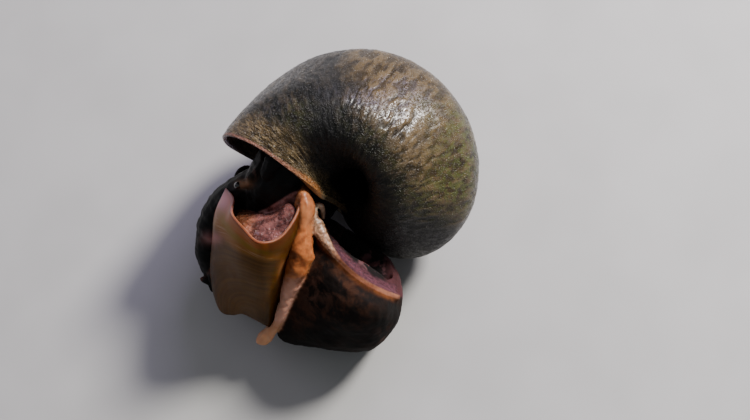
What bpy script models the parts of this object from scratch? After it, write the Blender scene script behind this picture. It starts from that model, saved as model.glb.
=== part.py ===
"""An apple snail at life size, seen from the umbilicus, its foot half folded out of the aperture.

The forms are laid out in millimetres in the sight frame: +X to the right, +Y up and +Z towards the eye,
which is SIGHT away from the origin and looks at the shell's base. A station (u, v, z, ...) of a soft part
has u and v where the eye sees them on the plane z = 0, then z, and for a limb its half width and half
depth. stand() hangs everything on an empty that turns it to the floor frame, +Z up, so that the snail lies
on the flats where shell and foot touch the ground.
"""

import math

import bmesh
import bpy
import numpy as np
from mathutils import Matrix, Vector

MM = 0.001
SIGHT = 280.0
GAP = 0.3  # between touching pieces
DOWN = (0.105, -0.30, -0.948)  # towards the floor
FLAT = 0.9  # depth of the flat under the shell

# Shell: a logarithmic spiral round an axis from the umbilicus to the apex
RADIUS = 44.8  # axis to the periphery at the lip
EXPANSION = 2.35  # growth in size over one whorl
AXIS = (0.561, 0.055, -0.826)
APEX = (17.7, 11.2, -42.2)
LIP_TURN = math.radians(20)
WALL = 1.3
CAVITY_START = math.radians(-80)
BODY_START = math.radians(-238)
LINE_COUNT = 26
BODY_STEPS = 30
CAVITY_STEPS = 12

# Earlier whorls: steps and lines of each, sunk a little into the next one
SPIRE = ((20, 20), (14, 16), (10, 12))
SPIRE_TURN = math.radians(320)
SPIRE_OVERLAP = math.radians(6)
SPIRE_SINK = 0.25

# Half-plane section of the whorl in shell radii: distance from the axis, height below the apex
SECTION = (
    (0.45, -0.36),  # suture
    (0.69, -0.43),  # shoulder
    (0.88, -0.58),  # upper side
    (0.98, -0.92),  # periphery
    (0.78, -1.35),  # lower side
    (0.59, -1.59),  # base
    (0.35, -1.62),  # base ridge
    (0.16, -1.39),  # umbilical shoulder
    (0.08, -1.06),  # umbilical wall
    (0.21, -0.67),  # inside the earlier whorl
)

# Aperture: two points of the basal lip, the lean of its plane, and the plane's hollow per square millimetre
LIP_COLUMELLA = (-14.1, 6.0, 9.8)
LIP_OUTER = (-42.9, 21.6, 0.0)
LIP_LEAN = math.radians(10)
LIP_HOLLOW = 0.0028
LIP_REACH = math.radians(80)
LIP_MARGIN = 0.12  # how far the cavity runs out of the lip, in radians

# Operculum: rows of stations from its free rim to its far edge
OPERCULUM_THICKNESS = 0.9
OPERCULUM_EDGE = 0.7  # share of the thickness left at the edge
OPERCULUM_CELLS = (10, 18)
OPERCULUM = (
    (
        (-41.4, 6.1, -14), (-39.2, 3.3, -8), (-39.7, -0.6, -1), (-36.7, -4.6, 6), (-32.5, -8.6, 9.5),
        (-26.7, -7.5, 7.5), (-22.2, -1.7, 4), (-20, 4.7, 0),
    ),
    (
        (-44.2, -0.6, -15), (-43.9, -4.7, -8), (-40.6, -7.8, -1), (-36.4, -10.8, 4.5),
        (-31.4, -13.1, 6.5), (-26.4, -12.5, 5), (-23.1, -9.2, 1.5), (-20.8, -4.7, -2.5),
    ),
    (
        (-45, -8.3, -18), (-44.2, -11.7, -11.5), (-40.8, -14.4, -5), (-36.4, -16.7, 0.5),
        (-31.7, -18.3, 2), (-27.5, -17.5, 0), (-25.3, -15.3, -3.5), (-23.6, -13.1, -7),
    ),
    (
        (-45.6, -15.6, -21), (-44.2, -19.4, -16), (-40.6, -21.4, -11), (-36.4, -23.1, -7),
        (-31.9, -24.4, -5.5), (-28.6, -23.6, -7), (-26.7, -21.9, -10), (-25.3, -20, -13),
    ),
    (
        (-45, -22.2, -24), (-42.8, -28.1, -20), (-39.7, -29.2, -17), (-36.7, -28.9, -14.5),
        (-33.6, -30.3, -13.5), (-30.8, -31.9, -14), (-28.9, -32.5, -15.5), (-27.5, -31.1, -17.5),
    ),
)

# Foot behind the operculum: layers of rows of stations, the layer at the operculum first
FOOT_REAR_CELLS = (6, 9, 11)
FOOT_REAR = (
    (
        ((-41.4, 1.4, -12), (-37.5, -4.4, 3.5), (-31.4, -9.2, 8.5), (-25.6, -7.2, 6), (-20.3, 3.3, -0.5)),
        ((-43.6, -7.8, -12), (-37.5, -13.3, 2), (-31.7, -16.1, 4), (-26.4, -14.4, 2), (-22.5, -8.9, -4)),
        (
            (-44.2, -16.7, -17), (-37.5, -21.7, -7), (-31.9, -23.3, -4), (-28.1, -22.2, -5),
            (-25.3, -18.9, -11),
        ),
        (
            (-42.5, -25, -20), (-37.5, -27.2, -14), (-33.6, -28.9, -12), (-30.6, -30, -13),
            (-28.3, -29.2, -17),
        ),
    ),
    (
        ((-40.3, 1.4, -17), (-36.1, -1.7, -6), (-31.4, -3.9, -3), (-25.3, -0.6, -1), (-19.7, 4.7, -4)),
        ((-42.5, -6.9, -20), (-37.5, -11.7, -10), (-31.4, -13.3, -8), (-25.3, -11.1, -7), (-20.8, -7.8, -9)),
        (
            (-43.1, -16.1, -24), (-37.5, -20, -16), (-31.9, -21.1, -14), (-27.5, -20, -14),
            (-23.1, -17.2, -15),
        ),
        (
            (-41.9, -23.6, -25), (-37.5, -26.1, -20), (-33.6, -27.8, -19), (-30.3, -28.9, -19),
            (-26.9, -27.8, -20),
        ),
    ),
    (
        ((-38.6, 3.1, -24), (-34.7, 2.2, -22), (-30.3, 2.2, -21), (-24.2, 4.2, -19), (-17.2, 5, -19)),
        (
            (-40.8, -5.6, -28), (-36.4, -7.8, -28), (-30.8, -8.3, -28), (-23.6, -7.2, -28),
            (-15.6, -5.6, -28),
        ),
        (
            (-41.9, -15, -30), (-36.9, -17.8, -30), (-31.4, -18.3, -31), (-25.3, -17.2, -31),
            (-18.6, -15.3, -30),
        ),
        (
            (-41.4, -22.2, -28), (-36.9, -24.4, -27), (-33.1, -25.6, -27), (-29.2, -26.7, -27),
            (-24.2, -26.1, -27),
        ),
    ),
)

# Fore part of the foot, folded towards the shell round a pocket of its sole: the near layer first
FOOT_FORE_CELLS = (6, 10, 12)
FOOT_FORE_ROUNDNESS = 6
FOOT_FORE = (
    (
        ((-19.2, -6.1, -5), (-13.6, -9.2, -1), (-7.8, -16.1, 1), (0, -21.4, 0), (6.4, -24.2, -6)),
        ((-21.4, -14.4, -5), (-14.7, -17.2, 0), (-7.5, -22.2, 4), (0.8, -25.8, 3), (7.5, -25.6, -7)),
        ((-24.7, -25, -9), (-15.8, -27.2, -2), (-7.5, -30, 2), (0.8, -31.1, 1), (6.4, -31.1, -7)),
        (
            (-30.3, -37.2, -17), (-19.2, -38.3, -13), (-9.7, -39.7, -11), (-1.9, -39.7, -11),
            (3.6, -36.1, -14),
        ),
    ),
    (
        ((-15.8, 1.1, -22), (-10.8, -1.7, -20), (-4.7, -5.3, -19), (1.9, -9.2, -18), (6.1, -13.1, -17)),
        (
            (-20.8, -11.1, -28), (-12.5, -13.3, -28.5), (-5.3, -17.2, -27.5), (1.9, -20.8, -25),
            (7.5, -20.8, -19),
        ),
        (
            (-24.7, -22.8, -32), (-15.8, -25, -33.5), (-7.5, -27.8, -34), (0.8, -28.9, -32),
            (6.1, -28.6, -23),
        ),
        (
            (-28.6, -34.4, -29), (-19.7, -35.6, -31), (-9.7, -37.2, -31.5), (-1.9, -37.5, -30),
            (3.1, -34.7, -24),
        ),
    ),
)
POCKET_CELLS = (3, 5, 6)
POCKET_ROUNDNESS = 8
POCKET = (
    (
        ((-14.7, -1.4, -7), (-8.3, -6.1, -6), (-2.8, -11.1, -6), (3.6, -14.4, -7)),
        ((-13.1, -10, -7), (-7.5, -16.7, -6), (-1.4, -21.1, -6), (4.2, -22.8, -8)),
        ((-11.9, -19.4, -9), (-6.9, -24.4, -7), (-1.4, -26.7, -7), (3.1, -25.6, -9)),
    ),
    (
        ((-13.9, 4.2, -15), (-6.9, 1.4, -14), (0, -4.2, -14), (5.6, -8.3, -13)),
        ((-12.5, -6.9, -15), (-6.4, -11.1, -14), (0.8, -14.4, -13), (5.3, -17.2, -13)),
        ((-11.7, -18.1, -14), (-6.4, -22.2, -13), (-0.8, -24.4, -12), (3.3, -24.4, -12)),
    ),
)

# Limbs: segments, sides and stations with half width and half depth
LIMBS = {
    "opercular_lobe": (18, 10, (
        (-19.2, 4.2, -1.5, 1.6, 3.0), (-19.2, 1.1, -0.5, 2.1, 3.4), (-19.2, -2.8, -0.5, 2.0, 3.4),
        (-19.7, -6.4, -0.5, 2.4, 3.2), (-20.6, -11.4, 0, 3.3, 3.0), (-21.4, -16.4, -2, 2.7, 2.6),
        (-23.3, -21.7, -6, 1.9, 2.0), (-25.3, -27.2, -10.5, 1.6, 1.8), (-27.5, -31.9, -14, 1.6, 1.7),
        (-31.4, -35.6, -18.5, 1.9, 1.8),
    )),
    "sole_margin": (30, 8, (
        (-14.4, -1.9, -7, 0.5, 0.7), (-14.6, 0.6, -6, 0.6, 0.8), (-15.7, 1.5, -5, 0.6, 0.9),
        (-16.8, 0.6, -4, 0.7, 1.0), (-16.8, -1.9, -3.5, 1.0, 1.2), (-15.9, -4.4, -3, 1.8, 1.4),
        (-14.8, -7.5, -2.2, 1.8, 1.5), (-12.2, -11.1, -0.6, 1.2, 1.5), (-8.3, -14.7, 1.2, 1.1, 1.5),
        (-4.2, -18.6, 1.2, 1.1, 1.4), (0.8, -21.8, 0.3, 1.0, 1.2), (6.1, -24.2, -5.4, 0.9, 1.0),
    )),
    "neck": (8, 16, (
        (-20.3, 20, -14, 9.5, 11), (-22.5, 13.1, -12, 10.5, 12.5), (-25.6, 7.5, -13, 10.5, 11.5),
        (-27.5, 1.9, -17, 10.5, 8),
    )),
    "foot_stalk": (8, 12, (
        (-9.7, 7.8, -22, 4.2, 7), (-13.1, 3.1, -22, 3.8, 6.5), (-15.8, -1.9, -22, 3.4, 5.5),
        (-16.4, -7.8, -23, 3, 4),
    )),
    "siphon": (6, 10, (
        (-24.4, 17.2, -2, 2.4, 2.6), (-27.8, 13.9, 0, 2.6, 2.6), (-29.7, 10, -2, 2.2, 2.2),
    )),
    "nuchal_lobe": (6, 10, (
        (-25.3, 16.7, -27, 2.0, 2.4), (-28.6, 12.8, -30, 2.6, 2.4), (-30.8, 8.3, -31, 2.0, 1.8),
    )),
    "head": (14, 14, (
        (-33.1, 6.1, -17, 6.2, 7.0), (-37.5, 4.2, -20, 5.6, 7.2), (-41.9, 0.8, -24, 5.2, 6.4),
        (-45.3, -4.4, -26, 4.4, 5.4), (-46.1, -10.6, -27, 3.9, 4.6), (-45.3, -16.1, -28, 3.3, 3.9),
    )),
    "eye_stalk_left": (4, 8, (
        (-33.6, 7.2, -9, 1.3, 1.3), (-35.8, 7.2, -7.5, 1.2, 1.2), (-37.2, 6.9, -7, 1.0, 1.0),
    )),
    "eye_stalk_right": (4, 8, (
        (-35.8, 6.1, -26, 1.3, 1.3), (-38.1, 6.7, -28.5, 1.2, 1.2), (-39.4, 6.7, -30, 1.0, 1.0),
    )),
    "tentacle_left": (12, 8, (
        (-35, 6.4, -9, 1.3, 1.3), (-34.2, 8.9, -5, 1.1, 1.1), (-32.5, 11.1, -2.5, 0.8, 0.8),
        (-31.2, 13.6, -2, 0.6, 0.6), (-31.4, 16.4, -4.5, 0.4, 0.4),
    )),
    "tentacle_right": (12, 8, (
        (-37.5, 4.7, -28, 1.3, 1.3), (-38.2, 7.8, -30, 1.1, 1.1), (-37.8, 10.3, -32, 0.8, 0.8),
        (-36.1, 11.7, -33, 0.6, 0.6), (-33.6, 11.7, -33, 0.4, 0.4),
    )),
    "palp_left": (5, 8, (
        (-45.3, -16.7, -25.2, 1.4, 1.4), (-45, -19.4, -24.2, 1.1, 1.1), (-44.2, -21.9, -24.5, 0.6, 0.6),
    )),
    "palp_right": (5, 8, (
        (-45.3, -16.7, -30.8, 1.4, 1.4), (-45.6, -19.7, -31.5, 1.1, 1.1), (-45, -22.2, -31.5, 0.6, 0.6),
    )),
    "lip_left": (6, 8, (
        (-47.8, -19.2, -26.9, 0.7, 0.7), (-46.1, -20, -26.7, 0.8, 0.9), (-44.2, -19.7, -26.9, 0.7, 0.7),
    )),
    "lip_right": (6, 8, (
        (-47.8, -19.2, -29.3, 0.7, 0.7), (-46.1, -20, -29.6, 0.8, 0.9), (-44.2, -19.7, -29.3, 0.7, 0.7),
    )),
}
MOUTH = (4, 8, (
    (-47.8, -17.2, -28.1, 0.9, 0.35), (-46.1, -19.2, -28.1, 3.0, 0.35), (-44.4, -20.8, -28.1, 0.9, 0.35),
))
LIMB_CAP = ((0.12, 0.96), (0.35, 0.85), (0.65, 0.6), (0.9, 0.25))  # share of width, share of reach
LIMB_REACH = 0.5  # of the half width and half depth together

EYES = {"eye_left": (-38, 6.9, -6.8), "eye_right": (-40.1, 6.7, -31)}
EYE_RADIUS = 1.0
EYE_SUBDIVISIONS = 2

MANTLE_TURNS = (math.radians(-46), math.radians(-14))
MANTLE_LINES = 18
MANTLE_STEPS = 4

# A piece makes room for those before it
ORDER = (
    "operculum", "foot_rear", "opercular_lobe", "foot_fore", "sole_margin", "foot_stalk", "neck",
    "mantle_edge", "siphon", "nuchal_lobe", "head", "eye_stalk_left", "eye_stalk_right", "eye_left",
    "eye_right", "tentacle_left", "tentacle_right", "palp_left", "palp_right", "lip_left", "lip_right",
)

# Base colour and roughness of each piece; none is metal
SHELL_LOOK = ((0.052, 0.046, 0.018), 0.30)
HORN_LOOK = ((0.107, 0.045, 0.017), 0.38)
BLACK_LOOK = ((0.014, 0.014, 0.013), 0.28)
FOOT_LOOK = ((0.050, 0.027, 0.017), 0.30)
ORANGE_LOOK = ((0.300, 0.125, 0.045), 0.32)
TAN_LOOK = ((0.400, 0.240, 0.140), 0.42)
EYE_LOOK = ((0.006, 0.006, 0.006), 0.08)
LOOKS = {
    "shell": SHELL_LOOK, "operculum": HORN_LOOK, "foot_rear": FOOT_LOOK, "foot_fore": FOOT_LOOK,
    "opercular_lobe": ORANGE_LOOK, "sole_margin": TAN_LOOK, "eye_left": EYE_LOOK, "eye_right": EYE_LOOK,
}


axis = Vector(AXIS).normalized()
across = Vector((-1, 0, 0))
across = (across - axis * across.dot(axis)).normalized()
upward = axis.cross(across)


def spline(points, t):
    """Values along the first axis of an open Catmull-Rom net, at t from 0 to 1."""
    p = np.asarray(points, float)
    p = np.concatenate((2 * p[:1] - p[1:2], p, 2 * p[-1:] - p[-2:-1]))
    s = t * (len(p) - 3)
    i = min(int(s), len(p) - 4)
    s -= i
    a, b, c, d = p[i : i + 4]
    return 0.5 * (2 * b + (c - a) * s + (2 * a - 5 * b + 4 * c - d) * s**2 + (3 * b - a - 3 * c + d) * s**3)


def closed_curve(points, count):
    """Points spaced evenly in parameter along a closed Catmull-Rom curve."""
    p = np.array(points)
    n = len(p)
    u = np.arange(count) * n / count
    i = u.astype(int)
    t = (u - i)[:, None]
    a, b, c, d = (p[(i + k) % n] for k in (-1, 0, 1, 2))
    return 0.5 * (2 * b + (c - a) * t + (2 * a - 5 * b + 4 * c - d) * t**2 + (3 * b - a - 3 * c + d) * t**3)


def seen(station):
    """The sight frame's point of a station."""
    u, v, z = station[:3]
    return Vector((u * (1 - z / SIGHT), v * (1 - z / SIGHT), z))


def new_object(name, mesh):
    obj = bpy.data.objects.new(name, mesh)
    bpy.context.scene.collection.objects.link(obj)
    return obj


def closed_mesh(name, points, faces):
    """An object of these faces in triangles, its normals outwards."""
    mesh = bpy.data.meshes.new(name)
    mesh.from_pydata([tuple(p) for p in points], [], faces)
    made = bmesh.new()
    made.from_mesh(mesh)
    bmesh.ops.recalc_face_normals(made, faces=made.faces)
    bmesh.ops.triangulate(made, faces=made.faces)
    if made.calc_volume(signed=True) < 0:
        bmesh.ops.reverse_faces(made, faces=made.faces)
    made.to_mesh(mesh)
    made.free()
    return new_object(name, mesh)


def loft(name, rings):
    """A closed object through rings of points, with flat ends."""
    n = len(rings[0])
    points = [p for ring in rings for p in ring]
    faces = []
    for i in range(len(rings) - 1):
        for j in range(n):
            k = (j + 1) % n
            faces.append((i * n + j, i * n + k, (i + 1) * n + k, (i + 1) * n + j))
    faces.append(tuple(reversed(range(n))))
    faces.append(tuple(range((len(rings) - 1) * n, len(rings) * n)))
    return closed_mesh(name, points, faces)


def block(name, net, cells, roundness=5):
    """A cube of cells, its corners rounded, bent through a net of layers of rows of stations."""
    net = np.array([[[tuple(seen(s)) for s in row] for row in layer] for layer in net])
    index = {}
    points = []

    def vertex(place):
        if place not in index:
            q = np.array([2 * a / n - 1 for a, n in zip(place, cells)])
            q /= (abs(q) ** roundness).sum() ** (1 / roundness)
            layer, row, column = (q + 1) / 2
            index[place] = len(points)
            points.append(spline(spline(spline(net, layer), row), column))
        return index[place]

    faces = []
    for fixed in range(3):
        b, c = [a for a in range(3) if a != fixed]
        for end in (0, cells[fixed]):
            for m in range(cells[b]):
                for n in range(cells[c]):
                    corners = []
                    for dm, dn in ((0, 0), (1, 0), (1, 1), (0, 1)):
                        place = [end, end, end]
                        place[b] = m + dm
                        place[c] = n + dn
                        corners.append(vertex(tuple(place)))
                    faces.append(tuple(corners))
    return closed_mesh(name, points, faces)


def limb(name, segments, sides, stations):
    """A round-ended tube along stations, with an elliptic section."""
    path = np.array([[*seen(s), *s[3:]] for s in stations])
    steps = [(0, share, -reach) for share, reach in LIMB_CAP]
    steps += [(i / segments, 1, 0) for i in range(segments + 1)]
    steps += [(1, share, reach) for share, reach in reversed(LIMB_CAP)]
    rings = []
    for t, share, reach in steps:
        here = spline(path, t)
        along = Vector(spline(path, min(1, t + 0.01))[:3] - spline(path, max(0, t - 0.01))[:3]).normalized()
        side = along.cross(Vector((0, 0, 1))).normalized()
        deep = side.cross(along)
        half_width, half_depth = here[3:]
        centre = Vector(here[:3]) + along * (reach * LIMB_REACH * (half_width + half_depth))
        ring = []
        for j in range(sides):
            a = math.tau * j / sides
            out = side * (math.cos(a) * half_width) + deep * (math.sin(a) * half_depth)
            ring.append(centre + out * share)
        rings.append(ring)
    return loft(name, rings)


def sheet(name, net, cells, thickness, edge):
    """A plate of even thickness through a net of stations, thinned to a share at its edges."""
    net = np.array([[tuple(seen(s)) for s in row] for row in net])
    rows, columns = cells
    grid = np.array(
        [[spline(spline(net, i / rows), j / columns) for j in range(columns + 1)] for i in range(rows + 1)]
    )
    normal = np.cross(np.gradient(grid, axis=0), np.gradient(grid, axis=1))
    normal /= np.linalg.norm(normal, axis=2)[:, :, None]
    half = np.full((rows + 1, columns + 1, 1), thickness / 2)
    half[[0, -1]] *= edge
    half[:, [0, -1]] *= edge
    points = [*(grid + normal * half).reshape(-1, 3), *(grid - normal * half).reshape(-1, 3)]
    index = np.arange((rows + 1) * (columns + 1)).reshape(rows + 1, columns + 1)
    far = index + index.size
    faces = []
    for i in range(rows):
        for j in range(columns):
            a, b, c, d = (int(index[i + m, j + n]) for m, n in ((0, 0), (0, 1), (1, 1), (1, 0)))
            e, f, g, h = (int(far[i + m, j + n]) for m, n in ((0, 0), (0, 1), (1, 1), (1, 0)))
            faces += [(a, b, c), (a, c, d), (e, g, f), (e, h, g)]
    rim = [*index[0, :-1], *index[:-1, -1], *index[-1, :0:-1], *index[:0:-1, 0]]
    for a, b in zip(rim, rim[1:] + rim[:1]):
        faces += [(int(a), int(a + index.size), int(b + index.size)), (int(a), int(b + index.size), int(b))]
    return closed_mesh(name, points, faces)


def ball(name, station, radius):
    made = bmesh.new()
    bmesh.ops.create_icosphere(made, subdivisions=EYE_SUBDIVISIONS, radius=radius)
    mesh = bpy.data.meshes.new(name)
    made.to_mesh(mesh)
    made.free()
    mesh.transform(Matrix.Translation(seen(station)))
    return new_object(name, mesh)


def boolean(obj, other, operation):
    """Applies one Boolean and removes the other object.

    The exact solver leaves slivers here, and then the cuts that follow fail on them.
    """
    modifier = obj.modifiers.new(operation.lower(), "BOOLEAN")
    modifier.operation = operation
    modifier.object = other
    modifier.solver = "MANIFOLD"
    graph = bpy.context.evaluated_depsgraph_get()
    mesh = bpy.data.meshes.new_from_object(obj.evaluated_get(graph))
    obj.modifiers.clear()
    obj.data = mesh
    bpy.data.objects.remove(other)


def keep_largest(obj):
    """Removes all but the connected surface that reaches furthest."""
    made = bmesh.new()
    made.from_mesh(obj.data)
    left = set(made.verts)
    best = (0, set())
    while left:
        todo = [left.pop()]
        island = set(todo)
        while todo:
            for edge in todo.pop().link_edges:
                for vertex in edge.verts:
                    if vertex in left:
                        left.discard(vertex)
                        island.add(vertex)
                        todo.append(vertex)
        reach = np.ptp([v.co for v in island], axis=0).prod()
        best = max(best, (reach, island), key=lambda found: found[0])
    bmesh.ops.delete(made, geom=[v for v in made.verts if v not in best[1]], context="VERTS")
    made.to_mesh(obj.data)
    made.free()


def grown(obj):
    """A copy of the object, larger by the gap."""
    copy = new_object(obj.name + "_cutter", obj.data.copy())
    normals = [Vector(n.vector) for n in obj.data.vertex_normals]
    for vertex, normal in zip(copy.data.vertices, normals):
        vertex.co += normal * GAP
    return copy


def box(obj):
    points = np.array([v.co for v in obj.data.vertices])
    return points.min(0), points.max(0)


def boxes_meet(one, other):
    (a, b), (c, d) = box(one), box(other)
    return bool((a < d + 2 * GAP).all() and (c < b + 2 * GAP).all())


def carve(obj, others):
    """Takes its neighbours and the gap round them away from the object."""
    for other in others:
        if boxes_meet(obj, other):
            boolean(obj, grown(other), "DIFFERENCE")
    keep_largest(obj)


def on_spiral(turn, rho, height):
    """The point at this growth angle whose section coordinates are rho and height."""
    size = RADIUS * EXPANSION ** (turn / math.tau)
    bearing = LIP_TURN - turn
    side = across * math.cos(bearing) + upward * math.sin(bearing)
    return Vector(APEX) + side * (size * rho) + axis * (size * height)


def before_lip(point):
    """True where the point lies inside the aperture's gently hollow plane."""
    inner, outer = Vector(LIP_COLUMELLA), Vector(LIP_OUTER)
    along = (outer - inner).normalized()
    normal = along.cross(Vector((0, 0, -1))).normalized()
    normal = Matrix.Rotation(LIP_LEAN, 3, along) @ normal
    return (point - inner).dot(normal) + LIP_HOLLOW * point.z**2 < 0


def lip_advance(rho, height):
    """The growth angle at which this line of the section meets the aperture."""
    low, high = -LIP_REACH, LIP_REACH
    for _ in range(40):
        middle = (low + high) / 2
        if before_lip(on_spiral(middle, rho, height)):
            low = middle
        else:
            high = middle
    return low


def whorl(name, starts, ends, count, section, grow=0.0):
    """A tube of the spiral between each line's start and end, its section grown by a distance."""
    centre = section.mean(0)
    rings = []
    for step in range(count + 1):
        ring = []
        for (rho, height), start, end in zip(section, starts, ends):
            turn = start + (end - start) * step / count
            size = RADIUS * EXPANSION ** (turn / math.tau)
            out = np.array((rho, height)) - centre
            out = out / np.linalg.norm(out) * grow / size
            ring.append(on_spiral(turn, rho + out[0], height + out[1]))
        rings.append(ring)
    return loft(name, rings)


def make_shell():
    """The body whorl with its cavity, and the spire's whorls joined to it."""
    section = closed_curve(SECTION, LINE_COUNT)
    ends = [lip_advance(*line) for line in section]
    beyond = [end + LIP_MARGIN for end in ends]
    shell = whorl("shell", [BODY_START] * LINE_COUNT, ends, BODY_STEPS, section)
    cavity = whorl("cavity", [CAVITY_START] * LINE_COUNT, beyond, CAVITY_STEPS, section, -WALL)
    boolean(shell, cavity, "DIFFERENCE")
    begin = BODY_START
    for steps, lines in SPIRE:
        end = begin + SPIRE_OVERLAP
        begin = end - SPIRE_TURN
        section = closed_curve(SECTION, lines)
        earlier = whorl("whorl", [begin] * lines, [end] * lines, steps, section, -SPIRE_SINK)
        boolean(shell, earlier, "UNION")
    keep_largest(shell)
    return shell


def make_mantle_edge():
    """The mantle that fills the whorl some way behind the lip."""
    start, end = MANTLE_TURNS
    section = closed_curve(SECTION, MANTLE_LINES)
    starts = [start] * MANTLE_LINES
    ends = [end] * MANTLE_LINES
    return whorl("mantle_edge", starts, ends, MANTLE_STEPS, section, -WALL - GAP)


def make_foot_fore():
    """The fore part of the foot with the pocket of its folded sole."""
    foot = block("foot_fore", FOOT_FORE, FOOT_FORE_CELLS, FOOT_FORE_ROUNDNESS)
    pocket = block("pocket", POCKET, POCKET_CELLS, POCKET_ROUNDNESS)
    boolean(foot, pocket, "DIFFERENCE")
    return foot


def make_head():
    """The head and snout, with the upright slit of the mouth between the places of the lips."""
    head = limb("head", *LIMBS["head"])
    boolean(head, limb("mouth", *MOUTH), "DIFFERENCE")
    return head


def make_piece(name):
    if name == "operculum":
        return sheet(name, OPERCULUM, OPERCULUM_CELLS, OPERCULUM_THICKNESS, OPERCULUM_EDGE)
    if name == "foot_rear":
        return block(name, FOOT_REAR, FOOT_REAR_CELLS)
    if name == "foot_fore":
        return make_foot_fore()
    if name == "mantle_edge":
        return make_mantle_edge()
    if name == "head":
        return make_head()
    if name in EYES:
        return ball(name, EYES[name], EYE_RADIUS)
    return limb(name, *LIMBS[name])


def make_snail():
    """All pieces, each carved to make room for the ones before it."""
    done = [make_shell()]
    for name in ORDER:
        piece = make_piece(name)
        carve(piece, done)
        done.append(piece)
    return done


def cut_flat(obj, up, level):
    """Cuts away what lies below a level along the upward direction and closes the cut."""
    made = bmesh.new()
    made.from_mesh(obj.data)
    geometry = made.verts[:] + made.edges[:] + made.faces[:]
    bmesh.ops.bisect_plane(made, geom=geometry, plane_co=up * level, plane_no=up, clear_inner=True)
    bmesh.ops.holes_fill(made, edges=[edge for edge in made.edges if edge.is_boundary])
    bmesh.ops.triangulate(made, faces=[face for face in made.faces if len(face.verts) > 3])
    made.to_mesh(obj.data)
    made.free()


def stand(pieces):
    """Cuts the flats and hangs the pieces on an empty that lays the snail on the floor, centred."""
    up = -Vector(DOWN).normalized()
    back = -(Vector((0, 0, 1)) - up * up.z).normalized()
    turn = Matrix((back.cross(up), back, up))
    floor = min(up.dot(v.co) for v in pieces[0].data.vertices) + FLAT
    for piece in pieces:
        if min(up.dot(v.co) for v in piece.data.vertices) < floor:
            cut_flat(piece, up, floor)
    turned = np.array([turn @ v.co for piece in pieces for v in piece.data.vertices])
    centre = (turned.min(0) + turned.max(0)) / 2
    holder = bpy.data.objects.new("apple_snail", None)
    bpy.context.scene.collection.objects.link(holder)
    holder.rotation_euler = turn.to_euler()
    holder.location = Vector((-centre[0], -centre[1], -floor)) * MM
    for piece in pieces:
        piece.data.transform(Matrix.Scale(MM, 4))
        piece.parent = holder


def add_material(obj):
    colour, roughness = LOOKS.get(obj.name, BLACK_LOOK)
    material = bpy.data.materials.new(obj.name)
    material.use_nodes = True
    shader = material.node_tree.nodes["Principled BSDF"]
    shader.inputs["Base Color"].default_value = (*colour, 1)
    shader.inputs["Roughness"].default_value = roughness
    shader.inputs["Metallic"].default_value = 0
    obj.data.materials.clear()
    obj.data.materials.append(material)


def main():
    for obj in list(bpy.data.objects):
        bpy.data.objects.remove(obj)
    pieces = make_snail()
    stand(pieces)
    for piece in pieces:
        add_material(piece)


main()
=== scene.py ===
"""The looks of the apple snail: wet shell with wrinkles and algae, horn operculum, one skin of flesh."""

import math

import bmesh
import bpy
import numpy as np
from mathutils import Matrix, Vector
from mathutils.kdtree import KDTree


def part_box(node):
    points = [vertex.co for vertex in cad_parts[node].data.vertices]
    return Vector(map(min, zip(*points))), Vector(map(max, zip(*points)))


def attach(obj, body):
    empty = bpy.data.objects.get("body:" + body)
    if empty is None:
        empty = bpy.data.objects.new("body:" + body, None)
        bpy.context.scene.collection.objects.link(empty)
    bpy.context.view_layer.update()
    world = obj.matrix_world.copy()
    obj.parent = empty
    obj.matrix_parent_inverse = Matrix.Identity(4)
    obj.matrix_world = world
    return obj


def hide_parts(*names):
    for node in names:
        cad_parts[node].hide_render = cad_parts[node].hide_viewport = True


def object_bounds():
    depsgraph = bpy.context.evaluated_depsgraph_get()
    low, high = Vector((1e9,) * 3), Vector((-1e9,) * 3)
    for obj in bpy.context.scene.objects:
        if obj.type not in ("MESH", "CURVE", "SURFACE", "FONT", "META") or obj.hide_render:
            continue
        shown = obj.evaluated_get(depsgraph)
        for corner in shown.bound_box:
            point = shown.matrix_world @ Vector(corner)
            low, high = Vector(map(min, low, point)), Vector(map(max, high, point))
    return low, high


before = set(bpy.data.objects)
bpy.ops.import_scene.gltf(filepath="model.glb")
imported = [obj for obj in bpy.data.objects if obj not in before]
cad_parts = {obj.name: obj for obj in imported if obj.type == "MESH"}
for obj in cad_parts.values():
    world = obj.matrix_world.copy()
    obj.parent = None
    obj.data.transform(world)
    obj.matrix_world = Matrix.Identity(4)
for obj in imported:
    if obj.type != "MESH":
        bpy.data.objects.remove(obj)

CAD_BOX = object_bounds()

# The sight frame, in millimetres: +X to the right, +Y up, +Z towards the eye, as the camera has it
SIGHT = 280.0  # from its origin to the eye
DOWN = (0.105, -0.30, -0.948)  # the way to the floor in it
PLACE = (11.724, -10.597, 38.334)  # its origin in the frame
PIXELS_PER_MM = 3.6
IMAGE_WIDTH = 750
IMAGE_HEIGHT = 420
SENSOR = 36.0

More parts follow.
